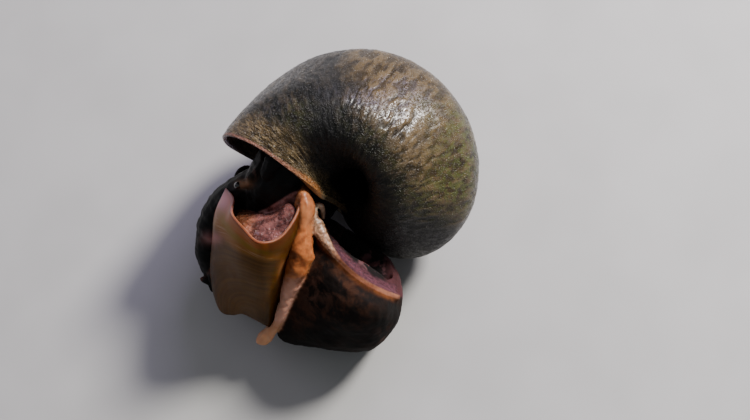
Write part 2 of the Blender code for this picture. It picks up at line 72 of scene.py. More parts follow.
# Shell, in the sight frame, with the same values as its solid
RADIUS = 44.8
EXPANSION = 2.35
AXIS = (0.561, 0.055, -0.826)
APEX = (17.7, 11.2, -42.2)
LIP_TURN = math.radians(20)
SECTION = (
    (0.45, -0.36),  # suture
    (0.69, -0.43),  # shoulder
    (0.88, -0.58),  # upper side
    (0.98, -0.92),  # periphery
    (0.78, -1.35),  # lower side
    (0.59, -1.59),  # base
    (0.35, -1.62),  # base ridge
    (0.16, -1.39),  # umbilical shoulder
    (0.08, -1.06),  # umbilical wall
    (0.21, -0.67),  # inside the earlier whorl
)
LIP_COLUMELLA = (-14.1, 6.0, 9.8)
LIP_OUTER = (-42.9, 21.6, 0.0)
LIP_LEAN = math.radians(10)
LIP_HOLLOW = 0.0028
LIP_REACH = math.radians(80)
WALL = 1.3
WHORLS = 3.3
INSIDE_DEPTH = math.radians(78)
FLOOR_CLEARANCE = 0.25  # how far the shell's skin stays above the floor
SKIN_CLEARANCE = 0.04  # and how far the flesh does

ACROSS = 200  # points round the whorl's section
# Whorls back from the lip, and the rings up to there
GROWTH_STEPS = ((0.55, 760), (1.0, 380), (2.0, 260), (WHORLS, 140))
LIP_STEPS = 8
INSIDE_STEPS = 60
INSIDE_CROWDING = 1.3  # the rings inside stand closer near the lip
BISECTIONS = 40
MEAN_GIRTH = 0.85  # the wall's mean distance from the axis, as a share of RADIUS

# Layers of noise on the shell: height in millimetres, size of the largest lumps, seed, octaves
SWAY = ((1.8, 14.0, 3, 1), (0.7, 3.5, 4, 2))
WRINKLES = (0.10, 1.8, 5, 1)
FINE_WRINKLES = (0.09, 1.0, 7, 2)
PITS = (0.06, 1.3, 13, 2)
LIP_PITS = (0.10, 0.8, 15, 1)
DENTS = (0.15, 9.0, 11, 1)
INSIDE_LINES = (0.03, 2.0, 19, 2)
# Size, seed and octaves of noise that isn't a height
WRINKLE_CALM = (7.0, 8, 1)
REST_LINES = (5.0, 9, 1)
ALGAE_CLOUD = (13.0, 23, 2)
FILM_CLOUD = (7.0, 24, 2)
REST_HEIGHT = 0.08

# Bands along the shell's growth, in millimetres from the lip: from where a mask is 0 to where it is 1
LIP_BAND = (0.9, 0.4)
# Painted shade in the umbilical groove starts this far behind the lip
GROOVE_SHADE_START = (1.5, 4.5)
LIP_FILM = (10, 5)
NEAR_LIP = (11, 3)
LIP_PITS_START = (-18, -3)  # with its sign: below 0 behind the lip
SHADE_START = (0.3, 1.2)  # in millimetres from the operculum's free rim

# Operculum: rows of stations from its free rim to its far edge, as in its solid
OPERCULUM = (
    (
        (-41.4, 6.1, -14), (-39.2, 3.3, -8), (-39.7, -0.6, -1), (-36.7, -4.6, 6), (-32.5, -8.6, 9.5),
        (-26.7, -7.5, 7.5), (-22.2, -1.7, 4), (-20, 4.7, 0),
    ),
    (
        (-44.2, -0.6, -15), (-43.9, -4.7, -8), (-40.6, -7.8, -1), (-36.4, -10.8, 4.5),
        (-31.4, -13.1, 6.5), (-26.4, -12.5, 5), (-23.1, -9.2, 1.5), (-20.8, -4.7, -2.5),
    ),
    (
        (-45, -8.3, -18), (-44.2, -11.7, -11.5), (-40.8, -14.4, -5), (-36.4, -16.7, 0.5),
        (-31.7, -18.3, 2), (-27.5, -17.5, 0), (-25.3, -15.3, -3.5), (-23.6, -13.1, -7),
    ),
    (
        (-45.6, -15.6, -21), (-44.2, -19.4, -16), (-40.6, -21.4, -11), (-36.4, -23.1, -7),
        (-31.9, -24.4, -5.5), (-28.6, -23.6, -7), (-26.7, -21.9, -10), (-25.3, -20, -13),
    ),
    (
        (-45, -22.2, -24), (-42.8, -28.1, -20), (-39.7, -29.2, -17), (-36.7, -28.9, -14.5),
        (-33.6, -30.3, -13.5), (-30.8, -31.9, -14), (-28.9, -32.5, -15.5), (-27.5, -31.1, -17.5),
    ),
)
PLATE_CELLS = (120, 180)
PLATE_SIZE = (36.0, 30.0)  # from the free rim to the far edge, and across
# Distance from the edge, and half of the thickness there
PLATE_HALF = ((0, 0.05), (0.15, 0.26), (0.45, 0.42), (1.2, 0.48), (4, 0.45))
RING_CENTRE = (0.98, 0.5)  # of the growth rings, as shares of the length and the width
RING_STRETCH = 1.05
RING_LINES = (0.05, 2.6, 31, 2)
FINE_RING_LINES = (0.022, 0.7, 33, 2)
PLATE_DENTS = (0.18, 9.0, 35, 1)
EYE_RADIUS = 1.0

FLESH = (
    "foot_fore", "foot_rear", "foot_stalk", "sole_margin", "opercular_lobe", "neck", "head", "mantle_edge",
    "siphon", "nuchal_lobe", "eye_stalk_left", "eye_stalk_right", "tentacle_left", "tentacle_right",
    "palp_left", "palp_right", "lip_left", "lip_right",
)
SLENDER = ("tentacle", "palp", "eye_stalk", "lip", "siphon")
THIN = ("tentacle", "palp", "eye_stalk", "lip")
DARK = ("neck", "head", "mantle_edge", "siphon", "nuchal_lobe", "foot_stalk")
VOXEL = 0.00032
JOIN = 0.00022  # each node grows by this before they fuse
WELD = 0.000001
BLEND_ROUNDS = 6
SMOOTH_STEPS = 60
SMOOTH_IN = 0.55  # Taubin's two steps
SMOOTH_OUT = -0.50
SLENDER_FIRMNESS = 0.88  # the share of the smoothing that slender parts are spared
CREASE_ROUNDS = 6
CREASE_STEPS = 6
CREASE_PUSH = 0.9
RELAX_STEPS = 120
RELAX_PUSH = 0.6

# Layers of noise on the flesh, as on the shell
FORE_LUMPS = ((0.40, 6.5, 41, 2), (0.09, 1.3, 43, 2))
REAR_LUMPS = ((0.20, 5.0, 45, 2), (0.06, 1.2, 46, 1))
LOBE_LUMPS = ((0.60, 4.4, 47, 2), (0.12, 1.2, 49, 2))
MARGIN_LUMPS = (0.16, 2.8, 51, 1)
MARGIN_GRAIN = (0.15, 0.9, 53, 2)
BOWL_LUMPS = (0.26, 3.0, 48, 2)
BOWL_PEBBLES = (1.5, 61, 1)
DARK_FOLDS = (0.30, 2.2, 55, 2)
DARK_LUMPS = (0.12, 1.3, 57, 2)
THIN_FOLDS = (0.07, 1.6, 59, 2)
FOLD_WAY = (-0.42, -0.88, -0.2)
FOLD_STRETCH = 0.25
BOWL_SINK = 0.5
SWELL_DEPTH = (3.5, 9)  # the depth at which the bowl's swelling starts, and how much deeper it stops growing

# Lines of the image, in pixels: the bright edge of the foot's sole, how wide the tan band is down the image,
# and the upper edge of the flesh that shows within the operculum
MARGIN_LINE = (
    (313, 206), (312.7, 231), (320, 239.5), (327.6, 247.8), (337.5, 259.3), (347.4, 269.2),
    (357.3, 277.5), (367.2, 284), (377, 289), (387, 293.6), (400, 298),
)
MARGIN_WIDTH = ((200, 11), (228, 11), (246, 4.6), (262, 1.8))
BOWL_EDGE = ((228, 198), (238, 203), (246, 210), (257, 212), (267, 208), (276, 202), (288, 195), (304, 186))

# Soft oval spots of the image: the middle and the reach in pixels, and the strength
ALGAE = (((458, 160), (22, 42), 1.0), ((415, 254), (20, 6), 1.4), ((425, 200), (40, 24), 0.5))
FILM = (((388, 78), (44, 44), 1.0), ((432, 132), (38, 52), 1.0), ((442, 192), (30, 30), 0.8))
# Painted shade: the umbilical groove and the shell's underside, darkened where shade falls
GROOVE_SHADE = (((324, 140), (20, 78), 1.0), ((354, 190), (32, 50), 1.0), ((402, 246), (66, 25), 1.0))
# Painted sheen: a lilac reflection on the operculum's left end
PAINTED_SHEEN = (((221, 198), (12, 13), 1.0),)
STAIN = (((214, 238), (8, 6), 1.0),)
REAR_SWELLING = (((289, 210), (9, 18), 1.8),)
LOBE_SWELLINGS = (((296, 208), (5, 16), 0.9), ((284, 272), (7, 34), 0.9))
BOWL_SWELLING = (((260, 228), (20, 12), 0.45),)
PEBBLED = (((256, 231), (10, 10), 0.40),)
HEAD_LUMP = (((212, 237), (8, 6), 2.2),)
# Painted light on the margin's curled loop, which the shell shades
LOOP_LIGHT_SPOT = (((318, 206), (6, 8), 1.0),)
LOOP_HOLE = (((318.5, 214.5), (2.2, 4.0), 1.0),)
RUST = (((316, 294), (14, 14), 1.0), ((392, 338), (12, 9), 1.0))
PINK = (((213, 238), (9, 6), 1.0),)
STALK = (((244, 184), (7, 4), 1.0),)

# Fades across or down the image, in pixels: from where a mask is 0 to where it is 1
LIP_FILM_ACROSS = (238, 280)
NEAR_LIP_ACROSS = (238, 275)
LIP_ORANGE_ACROSS = (278, 312)
LIP_CURL_ACROSS = (244, 226)
LIP_END_ACROSS = (324, 318)
# Painted shade on the operculum's left end and its lower part
DUSK_SHADE_ACROSS = (226, 206)
DUSK_SHADE_DOWN = (222, 262)
DUSK_SHADE_LOW = (304, 326)
SHADE_ACROSS = (256, 272)
SHADE_DOWN = (266, 250)
# Painted light on the operculum's lower right, where the lobe shades it
PAINTED_LIGHT_ACROSS = (274, 284)
PAINTED_LIGHT_DOWN = (256, 268)
SLOPE_ACROSS = (316, 322)
UNDER_END_ACROSS = (402, 392)
UNDER_START = 316
MARGIN_END_ACROSS = (402, 397)
SOLE_START_ACROSS = (324, 344)
SOLE_END_ACROSS = (400, 395)
FLUSH_ACROSS = (382, 392)
GRAINY_ACROSS = (342, 328)
# Painted shade on the foot's right and lower parts
FOOT_SHADE_ACROSS = (352, 384)
FOOT_SHADE_DOWN = (318, 336)
RIDGE_TOP = (222, 232)
RIDGE_END = (284, 274)
PALE_TOP = (272, 290)
PALE_END = (330, 318)
TIP_DOWN = (318, 334)
BOWL_WARM_ACROSS = (262, 240)
BOWL_END = 306
PINK_END = 222

# Fades away from MARGIN_LINE, in pixels
SLOPE_FAR = (-15, -10)
SLOPE_CLOSE = (0.5, -1.5)
MARGIN_START = (-2.2, -0.8)
SOLE_REACH = (13, 9)
UNDER_REACH = (-8, -1.5)
BOWL_START = (-1, 2)  # and away from BOWL_EDGE

# Depths in the sight frame, beyond which the image doesn't show a part, and fades down in depth
SHELL_SEEN = -32
FOOT_SEEN = -26
SLEEK_SEEN = -30
SLOPE_SEEN = -12
BOWL_DEPTH = (-26, -22)
OVERHANG_DEPTH = (-14, -10)
OVERHANG_LEAN = (0.2, -0.1)  # the upward part of the normal, from the bowl's floor to its far side

# Colours, linear
# The valley colours below are painted shade in the wrinkles, with lighter crests
SHELL_SHADED_VALLEY = (0.004, 0.004, 0.003)
SHELL_CREST = (0.030, 0.024, 0.017)
SILT_SHADED_VALLEY = (0.034, 0.022, 0.009)
SILT_CREST = (0.105, 0.070, 0.031)
STREAK_AND_GLINT_PALE = (0.26, 0.19, 0.10)
ALGAE_GREEN = (0.070, 0.082, 0.020)
WORN_LIME = (0.32, 0.28, 0.24)
# The aperture's lining, made paler as painted light near the lip, with painted shade deeper in
INSIDE_LIT_DARK = (0.09, 0.065, 0.035)
INSIDE_LIT_PALE = (0.22, 0.16, 0.10)
INSIDE_DEEP_SHADE = (0.03, 0.025, 0.016)
LIP_PINK = (0.19, 0.085, 0.058)
LIP_ORANGE = (0.22, 0.086, 0.022)
LIP_GRIME = (0.12, 0.06, 0.035)
HORN_DARK = (0.075, 0.030, 0.002)
HORN_PALE = (0.115, 0.047, 0.004)
HORN_BROWN = (0.21, 0.080, 0.006)
HORN_OLIVE_AND_LIGHT = (0.20, 0.100, 0.004)
HORN_AMBER = (0.27, 0.078, 0.007)
HORN_RIM = (0.15, 0.045, 0.016)
HORN_LINE = (0.34, 0.24, 0.15)
HORN_SHADE = (0.030, 0.008, 0.002)
HORN_EDGE_HIGHLIGHT = (0.30, 0.13, 0.07)
HORN_DUSK_SHADE = (0.014, 0.008, 0.005)
HORN_SHEEN_LILAC = (0.74, 0.37, 0.42)
HORN_PAINTED_LIGHT = (0.40, 0.15, 0.05)
HORN_STAIN = (0.34, 0.12, 0.11)
HORN_REAR = (0.24, 0.09, 0.05)
FOOT_BLACK = (0.005, 0.0025, 0.0015)
FOOT_BROWN = (0.040, 0.014, 0.006)
FOOT_PATCH = (0.045, 0.018, 0.010)
FOOT_SHADE_BLACK = (0.003, 0.0025, 0.002)
FOOT_RUST = (0.13, 0.060, 0.042)
AMBER_DARK = (0.055, 0.013, 0.002)
AMBER_PALE = (0.13, 0.038, 0.008)
FOLD_SHADE_DARK = (0.005, 0.004, 0.004)
FOLD_PALE = (0.09, 0.038, 0.042)
FLUSH_DARK = (0.012, 0.004, 0.004)
FLUSH_PALE = (0.085, 0.024, 0.028)
HEAD_GREY = (0.009, 0.008, 0.007)
HEAD_SPECK = (0.03, 0.02, 0.015)
HEAD_PINK = (0.34, 0.14, 0.13)
SOLE_DARK = (0.030, 0.010, 0.014)
SOLE_PALE = (0.085, 0.029, 0.039)
BOWL_PINK_DARK = (0.055, 0.020, 0.018)
BOWL_PINK_PALE = (0.18, 0.072, 0.064)
BOWL_WARM_DARK = (0.09, 0.030, 0.012)
BOWL_WARM_PALE = (0.30, 0.110, 0.055)
# Painted light on the bowl's overhanging far side, which lies in shade
BOWL_FAR_LIT_DARK = (0.14, 0.055, 0.050)
BOWL_FAR_LIT_PALE = (0.50, 0.24, 0.23)
LOBE_DARK = (0.22, 0.070, 0.024)
LOBE_ORANGE = (0.35, 0.130, 0.050)
RIDGE_DARK = (0.15, 0.042, 0.012)
RIDGE_ORANGE = (0.34, 0.110, 0.033)
LOBE_PALE = (0.62, 0.32, 0.23)
LOBE_TIP = (0.55, 0.27, 0.14)
MARGIN_DARK = (0.15, 0.052, 0.024)
MARGIN_TAN = (0.26, 0.110, 0.062)
GRAIN_DARK = (0.13, 0.070, 0.038)
GRAIN_TAN = (0.40, 0.24, 0.15)
LOOP_LIGHT_PALE = (0.85, 0.60, 0.42)
FEELER_DARK = (0.007, 0.006, 0.005)
FEELER_BROWN = (0.06, 0.035, 0.028)
STALK_TAN = (0.30, 0.17, 0.10)
EYE_BLACK = (0.006, 0.006, 0.007)
EYE_BROWN = (0.02, 0.017, 0.012)
FLOOR_DARK = (0.38, 0.377, 0.368)
FLOOR_PALE = (0.41, 0.407, 0.398)
# Black of painted shade on the shell, and of the dark head and neck
BLACK_OF_SKIN_AND_SHADE = (0.003, 0.003, 0.003)

# Heights of bump, in metres, and how deep light goes under horn and skin
STREAK_HEIGHT = 0.00005
WAVE_HEIGHT = 0.00012
PIMPLE_HEIGHT = 0.00014
BEAD_HEIGHT = 0.00030
HORN_LINE_HEIGHT = 0.000012
HORN_WAVE_HEIGHT = 0.00005
GRAIN_HEIGHT = 0.00003
PEBBLE_HEIGHT = 0.00025
LIGHT_DEPTH = 0.002
HORN_LIGHT = (1.0, 0.35, 0.12)
SKIN_LIGHT = (1.0, 0.45, 0.3)

FLOOR_HALF = 3.0

up = -Vector(DOWN).normalized()
back = -(Vector((0, 0, 1)) - up * up.z).normalized()
TURN = Matrix((back.cross(up), back, up))


def to_floor(points):
    """Sight-frame millimetres to the frame's metres."""
    return (np.asarray(points) @ np.array(TURN).T + np.array(PLACE)) / 1000


def to_sight(points):
    """The frame's metres to sight-frame millimetres."""
    return (np.asarray(points) * 1000 - np.array(PLACE)) @ np.array(TURN)


def as_seen(points):
    """Where the camera sees sight-frame points, in pixels of the 750 by 420 image."""
    share = 1 - points[:, 2] / SIGHT
    x = IMAGE_WIDTH / 2 + points[:, 0] / share * PIXELS_PER_MM
    y = IMAGE_HEIGHT / 2 - points[:, 1] / share * PIXELS_PER_MM
    return x, y


def smooth_step(low, high, values):
    t = np.clip((values - low) / (high - low), 0, 1)
    return t * t * (3 - 2 * t)


def beside(x, y, line):
    """Pixels from a line of the image, positive on its upper right."""
    nearest = np.full(len(x), 1e9)
    for (x0, y0), (x1, y1) in zip(line, line[1:]):
        length = math.hypot(x1 - x0, y1 - y0)
        ahead = np.clip(((x - x0) * (x1 - x0) + (y - y0) * (y1 - y0)) / length**2, 0, 1)
        away = np.hypot(x - x0 - ahead * (x1 - x0), y - y0 - ahead * (y1 - y0))
        side = np.sign((x - x0) * (y1 - y0) - (y - y0) * (x1 - x0))
        nearest = np.where(away < np.abs(nearest), away * side, nearest)
    return nearest


def spot(x, y, place, reach):
    """A soft oval spot of the image, 1 at its middle."""
    return np.exp(-((x - place[0]) / reach[0]) ** 2 - ((y - place[1]) / reach[1]) ** 2)


def spots(x, y, places):
    """The sum of soft spots of the image, each of its own strength."""
    return sum(strength * spot(x, y, place, reach) for place, reach, strength in places)


HASH_STEPS = (374761393, 668265263, 2147483647)
HASH_FACTORS = (1274126177, 2246822519)
HASH_BITS = 0xFFFFFFFF


def lattice(ix, iy, iz, seed):
    """A value from -1 to 1 for each whole-number place."""
    h = ix * HASH_STEPS[0] + iy * HASH_STEPS[1] + iz * HASH_STEPS[2] + seed * HASH_FACTORS[0]
    h = (h ^ (h >> 13)) * HASH_FACTORS[0]
    h = h & HASH_BITS
    h = ((h ^ (h >> 16)) * HASH_FACTORS[1]) & HASH_BITS
    return h / (HASH_BITS >> 1) - 1


def noise(points, size, seed, octaves=2):
    """Smooth noise from -1 to 1 at points in millimetres, its largest lumps this size."""
    total = np.zeros(len(points))
    weight = 1.0
    for octave in range(octaves):
        p = points / size * 2**octave
        base = np.floor(p).astype(np.int64)
        t = p - base
        t = t * t * (3 - 2 * t)
        for corner in range(8):
            d = np.array([corner & 1, corner >> 1 & 1, corner >> 2])
            share = np.prod(np.where(d, t, 1 - t), axis=1)
            total += weight * share * lattice(*(base + d).T, seed + octave)
        weight /= 2
    return total


def lumps(points, *layers):
    """The sum of layers of noise in millimetres, each (height, size, seed, octaves)."""
    return sum(height * noise(points, *layer) for height, *layer in layers)


def kept_clear(points, clearance):
    """The points, those nearer to the floor than the clearance lifted to it."""
    height = to_floor(points)[:, 2] * 1000
    return points + np.array(up) * np.maximum(clearance - height, 0)[:, None]


def closed_curve(points, count):
    """Points spaced evenly in parameter along a closed Catmull-Rom curve."""
    p = np.array(points)
    n = len(p)
    u = np.arange(count) * n / count
    i = u.astype(int)
    t = (u - i)[:, None]
    a, b, c, d = (p[(i + k) % n] for k in (-1, 0, 1, 2))
    return 0.5 * (2 * b + (c - a) * t + (2 * a - 5 * b + 4 * c - d) * t**2 + (3 * b - a - 3 * c + d) * t**3)


def link(name, mesh):
    obj = bpy.data.objects.new(name, mesh)
    bpy.context.scene.collection.objects.link(obj)
    return obj


def add_values(mesh, values_by_name):
    """Float attributes, one value to a point, for the materials."""
    for name, values in values_by_name.items():
        layer = mesh.attributes.new(name, "FLOAT", "POINT")
        layer.data.foreach_set("value", np.asarray(values, np.float32))


def new_piece(name, points, faces, values_by_name):
    """A smooth mesh object of sight-frame points."""
    mesh = bpy.data.meshes.new(name)
    mesh.from_pydata([tuple(p) for p in to_floor(points)], [], faces)
    add_values(mesh, values_by_name)
    mesh.shade_smooth()
    return link(name, mesh)


# Shell

axis = np.array(Vector(AXIS).normalized())
across = np.array((-1.0, 0.0, 0.0))
across = across - axis * (across @ axis)
across /= np.linalg.norm(across)
upward = np.cross(axis, across)


def on_spiral(turn, rho, height):
    """Points at growth angles, from coordinates of the whorl's section."""
    size = RADIUS * EXPANSION ** (turn / math.tau)
    bearing = LIP_TURN - turn
    side = np.cos(bearing)[:, None] * across + np.sin(bearing)[:, None] * upward
    return np.array(APEX) + side * (size * rho)[:, None] + axis * (size * height)[:, None]


def lip_advance(section):
    """The growth angle at which each line of the section meets the aperture's gently hollow plane."""
    inner, outer = Vector(LIP_COLUMELLA), Vector(LIP_OUTER)
    along = (outer - inner).normalized()
    normal = along.cross(Vector((0, 0, -1))).normalized()
    normal = np.array(Matrix.Rotation(LIP_LEAN, 3, along) @ normal)
    low = np.full(len(section), -LIP_REACH)
    high = np.full(len(section), LIP_REACH)
    for _ in range(BISECTIONS):
        middle = (low + high) / 2
        points = on_spiral(middle, *section.T)
        before = (points - np.array(inner)) @ normal + LIP_HOLLOW * points[:, 2] ** 2 < 0
        low = np.where(before, middle, low)
        high = np.where(before, high, middle)
    return low


def shell_rows():
    """(growth angle, inset, inside) of each ring, from the apex over the lip to the depth of the aperture."""
    rows = []
    begin = 0.0
    for whorls, count in GROWTH_STEPS:
        rows += [(-math.tau * (begin + (whorls - begin) * i / count), 0.0, 0.0) for i in range(count)]
        begin = whorls
    rows.reverse()
    for i in range(1, LIP_STEPS):
        a = math.pi * i / LIP_STEPS
        rows.append((math.sin(a) * WALL / 2 / RADIUS, WALL / 2 * (1 - math.cos(a)), 0.5))
    steps = [i / INSIDE_STEPS for i in range(INSIDE_STEPS + 1)]
    rows += [(-INSIDE_DEPTH * step**INSIDE_CROWDING, WALL, 1.0) for step in steps]
    return rows


def section_outwards(section):
    """The outward normal at each point of the whorl's section."""
    tangent = np.roll(section, -1, 0) - np.roll(section, 1, 0)
    outwards = np.stack([-tangent[:, 1], tangent[:, 0]], 1)
    outwards /= np.linalg.norm(outwards, axis=1)[:, None]
    if ((section - section.mean(0)) * outwards).sum() < 0:
        outwards = -outwards
    return outwards


def shell_relief(arc, round_, plain):
    """Growth wrinkles, rests of growth and dents, in millimetres, and each point's share of a crest."""
    sway = lumps(plain, *SWAY)
    lines = np.stack([arc + sway, round_ * 60, plain[:, 0] * 0.02], 1)
    wrinkles = lumps(lines, WRINKLES) + lumps(lines * (1, 1.4, 1), FINE_WRINKLES)
    wrinkles *= 0.45 + smooth_step(-0.6, 0.6, noise(plain, *WRINKLE_CALM))
    rests = REST_HEIGHT * smooth_step(0.4, 0.8, noise(lines * (1, 0.04, 1), *REST_LINES))
    pits = lumps(plain, PITS) + lumps(plain, LIP_PITS) * smooth_step(*LIP_PITS_START, arc)
    return wrinkles + rests + pits + lumps(plain, DENTS), smooth_step(-0.14, 0.16, wrinkles + pits)


def shell_masks(points, plain, grow, inside, whorl, from_lip):
    """Where the shell's colours and its painted shade lie, 0 to 1."""
    x, y = as_seen(points)
    near = points[:, 2] > SHELL_SEEN
    algae = spots(x, y, ALGAE) * near
    algae += 0.35 * smooth_step(0, 0.8, noise(plain, *ALGAE_CLOUD)) * smooth_step(0.25, 0.6, whorl)
    lip_film = smooth_step(*LIP_FILM, from_lip) * (0.6 + 0.4 * smooth_step(*LIP_FILM_ACROSS, x))
    film = (spots(x, y, FILM) + lip_film) * near + 0.5 * (1 - near) + 0.3 * noise(plain, *FILM_CLOUD)
    groove_shade = spots(x, y, GROOVE_SHADE) * smooth_step(*GROOVE_SHADE_START, from_lip)
    orange = smooth_step(*LIP_ORANGE_ACROSS, x) * near
    curl = (inside == 1) * smooth_step(*LIP_CURL_ACROSS, x)  # the pinkish inner face at the lip's far end
    lip = smooth_step(*LIP_BAND, np.abs(from_lip) / (1 + 0.5 * orange + 3 * curl)) * (grow > -1)
    streaked = (inside == 0) * (0.45 + 0.55 * smooth_step(*NEAR_LIP_ACROSS, x))
    return {
        "near_lip": smooth_step(*NEAR_LIP, from_lip) * streaked,
        "lip": lip * smooth_step(*LIP_END_ACROSS, x) * near,
        "lip_orange": orange,
        "algae": np.clip(algae, 0, 1),
        "film": np.clip(film, 0, 1),
        "groove_shade": np.clip(groove_shade * near, 0, 1),
        "apex": smooth_step(0.24, 0.10, whorl),
    }


def shell_faces(rows, size):
    index = np.arange(rows * size).reshape(rows, size)
    a = index[:-1]
    b = index[1:]
    faces = np.stack([a, np.roll(a, -1, 1), np.roll(b, -1, 1), b], -1).reshape(-1, 4).tolist()
    faces.append(index[0][::-1].tolist())
    faces.append(index[-1].tolist())
    return faces


def make_shell():
    section = closed_curve(SECTION, ACROSS)
    outwards = section_outwards(section)
    rows = shell_rows()
    grow, inset, inside = (np.repeat(column, ACROSS) for column in zip(*rows))
    turn = grow + np.tile(lip_advance(section), len(rows))
    size = RADIUS * EXPANSION ** (turn / math.tau)
    around = np.tile(section, (len(rows), 1))
    out = np.tile(outwards, (len(rows), 1))
    round_ = np.tile(np.arange(ACROSS) / ACROSS, len(rows))
    plain = on_spiral(turn, *around.T)
    arc = grow * RADIUS * MEAN_GIRTH  # along the growth at the last whorl, in millimetres
    outer = smooth_step(0, -0.015, grow) * (inside == 0)
    from_lip = -grow * size * around[:, 0]  # millimetres
    relief, crest = shell_relief(arc, round_, plain)
    relief *= outer * np.minimum(1, size / RADIUS + 0.15)
    relief += lumps(np.stack([arc, round_ * 4, arc * 0], 1), INSIDE_LINES) * (inside > 0.6)
    step = (relief - inset) / size
    points = kept_clear(on_spiral(turn, *(around + out * step[:, None]).T), FLOOR_CLEARANCE)
    values = {"arc": arc, "round": round_, "inside": inside, "crest": crest}
    values.update(shell_masks(points, plain, grow, inside, size / RADIUS, from_lip))
    return new_piece("shell_skin", points, shell_faces(len(rows), ACROSS), values)


# Operculum

def seen(stations):
    """Sight-frame points of stations (u, v, z), u and v where the eye sees them on the plane z = 0."""
    s = np.asarray(stations, float)
    share = 1 - s[..., 2:3] / SIGHT
    return np.concatenate((s[..., :2] * share, s[..., 2:3]), -1)


def spline(points, t):
    """Values along the first axis of an open Catmull-Rom net, at t from 0 to 1."""
    p = np.concatenate((2 * points[:1] - points[1:2], points, 2 * points[-1:] - points[-2:-1]))
    s = t * (len(p) - 3)
    i = min(int(s), len(p) - 4)
    s -= i
    a, b, c, d = p[i : i + 4]
    return 0.5 * (2 * b + (c - a) * s + (2 * a - 5 * b + 4 * c - d) * s**2 + (3 * b - a - 3 * c + d) * s**3)


def plate_masks(points, free):
    """Where the operculum's colours lie, with its painted sheen, painted light and painted shade, 0 to 1."""
    x, y = as_seen(points)
    dusk_shade = smooth_step(*DUSK_SHADE_ACROSS, x) * smooth_step(*DUSK_SHADE_DOWN, y)
    shade = smooth_step(*SHADE_ACROSS, x) * smooth_step(*SHADE_START, free) * smooth_step(*SHADE_DOWN, y)
    return {
        "painted_sheen": spots(x, y, PAINTED_SHEEN),
        "dusk_shade": np.maximum(dusk_shade, smooth_step(*DUSK_SHADE_LOW, y)),
        "shade": shade,
        "painted_light": smooth_step(*PAINTED_LIGHT_ACROSS, x) * smooth_step(*PAINTED_LIGHT_DOWN, y),
        "stain": spots(x, y, STAIN),
    }


def plate_relief(grid, ring, column):
    """Growth rings and dents, in millimetres."""
    lines = np.stack([ring.ravel(), column.ravel() * 3, np.zeros(ring.size)], 1)
    relief = lumps(lines, RING_LINES) + lumps(lines + 9, FINE_RING_LINES)
    relief += lumps(grid.reshape(-1, 3), PLATE_DENTS)
    return relief.reshape(ring.shape)


def make_operculum():
    rows, columns = PLATE_CELLS
    net = seen(OPERCULUM)
    lengthwise = [spline(net, i / rows) for i in range(rows + 1)]
    grid = np.array([[spline(row, j / columns) for j in range(columns + 1)] for row in lengthwise])
    normal = np.cross(np.gradient(grid, axis=0), np.gradient(grid, axis=1))
    normal /= np.linalg.norm(normal, axis=2)[:, :, None]
    if normal[rows // 2, columns // 2, 2] < 0:
        normal = -normal
    row, column = np.meshgrid(np.linspace(0, 1, rows + 1), np.linspace(0, 1, columns + 1), indexing="ij")
    length, width = PLATE_SIZE
    free = row * length
    edge = np.minimum(np.minimum(free, (1 - row) * length), np.minimum(column * width, (1 - column) * width))
    half = np.interp(edge, *zip(*PLATE_HALF))
    ring = np.hypot((column - RING_CENTRE[1]) * RING_STRETCH, RING_CENTRE[0] - row) * length
    relief = plate_relief(grid, ring, column) * smooth_step(0, 2, edge)
    front = (grid + normal * (half + relief)[:, :, None]).reshape(-1, 3)
    rear = (grid + normal * (relief * 0.6 - half)[:, :, None]).reshape(-1, 3)
    index = np.arange(row.size).reshape(row.shape)
    faces = np.stack([index[:-1, :-1], index[:-1, 1:], index[1:, 1:], index[1:, :-1]], -1).reshape(-1, 4)
    rim = np.concatenate((index[0, :-1], index[:-1, -1], index[-1, :0:-1], index[:0:-1, 0]))
    ahead = np.roll(rim, -1)
    sides = np.stack([rim, rim + index.size, ahead + index.size, ahead], -1)
    faces = np.concatenate((faces, faces[:, ::-1] + index.size, sides)).tolist()
    points = np.concatenate((front, rear))
    values = {"free": free, "column": column, "ring": ring}
    values = {name: np.tile(value.ravel(), 2) for name, value in values.items()}
    values["behind"] = np.repeat((0.0, 1.0), index.size)
    values.update(plate_masks(points, values["free"]))
    plate = new_piece("operculum_horn", points, faces, values)
    made = bmesh.new()
    made.from_mesh(plate.data)
    bmesh.ops.recalc_face_normals(made, faces=made.faces)
    made.to_mesh(plate.data)
    made.free()
    return plate


# Flesh

def average(values, edges, count):
    """The mean of each point's neighbours, column by column."""
    degree = np.bincount(edges.ravel(), minlength=count)
    columns = []
    for column in values.T:
        total = np.bincount(edges[:, 0], weights=column[edges[:, 1]], minlength=count)
        total += np.bincount(edges[:, 1], weights=column[edges[:, 0]], minlength=count)
        columns.append(total / degree)
    return np.stack(columns, 1)


def fused_flesh():
    """One closed mesh round all nodes of flesh."""
    joined = bmesh.new()
    for name in FLESH:
        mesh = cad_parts[name].data.copy()
        welded = bmesh.new()
        welded.from_mesh(mesh)
        bmesh.ops.remove_doubles(welded, verts=welded.verts, dist=WELD)
        welded.normal_update()
        for vertex in welded.verts:
            vertex.co += vertex.normal * JOIN
        welded.to_mesh(mesh)
        welded.free()
        joined.from_mesh(mesh)
        bpy.data.meshes.remove(mesh)
    mesh = bpy.data.meshes.new("flesh")
    joined.to_mesh(mesh)
    joined.free()
    skin = link("flesh", mesh)
    remesh = skin.modifiers.new("fuse", "REMESH")
    remesh.mode = "VOXEL"
    remesh.voxel_size = VOXEL
    graph = bpy.context.evaluated_depsgraph_get()
    skin.data = bpy.data.meshes.new_from_object(skin.evaluated_get(graph))
    skin.modifiers.clear()
    return skin


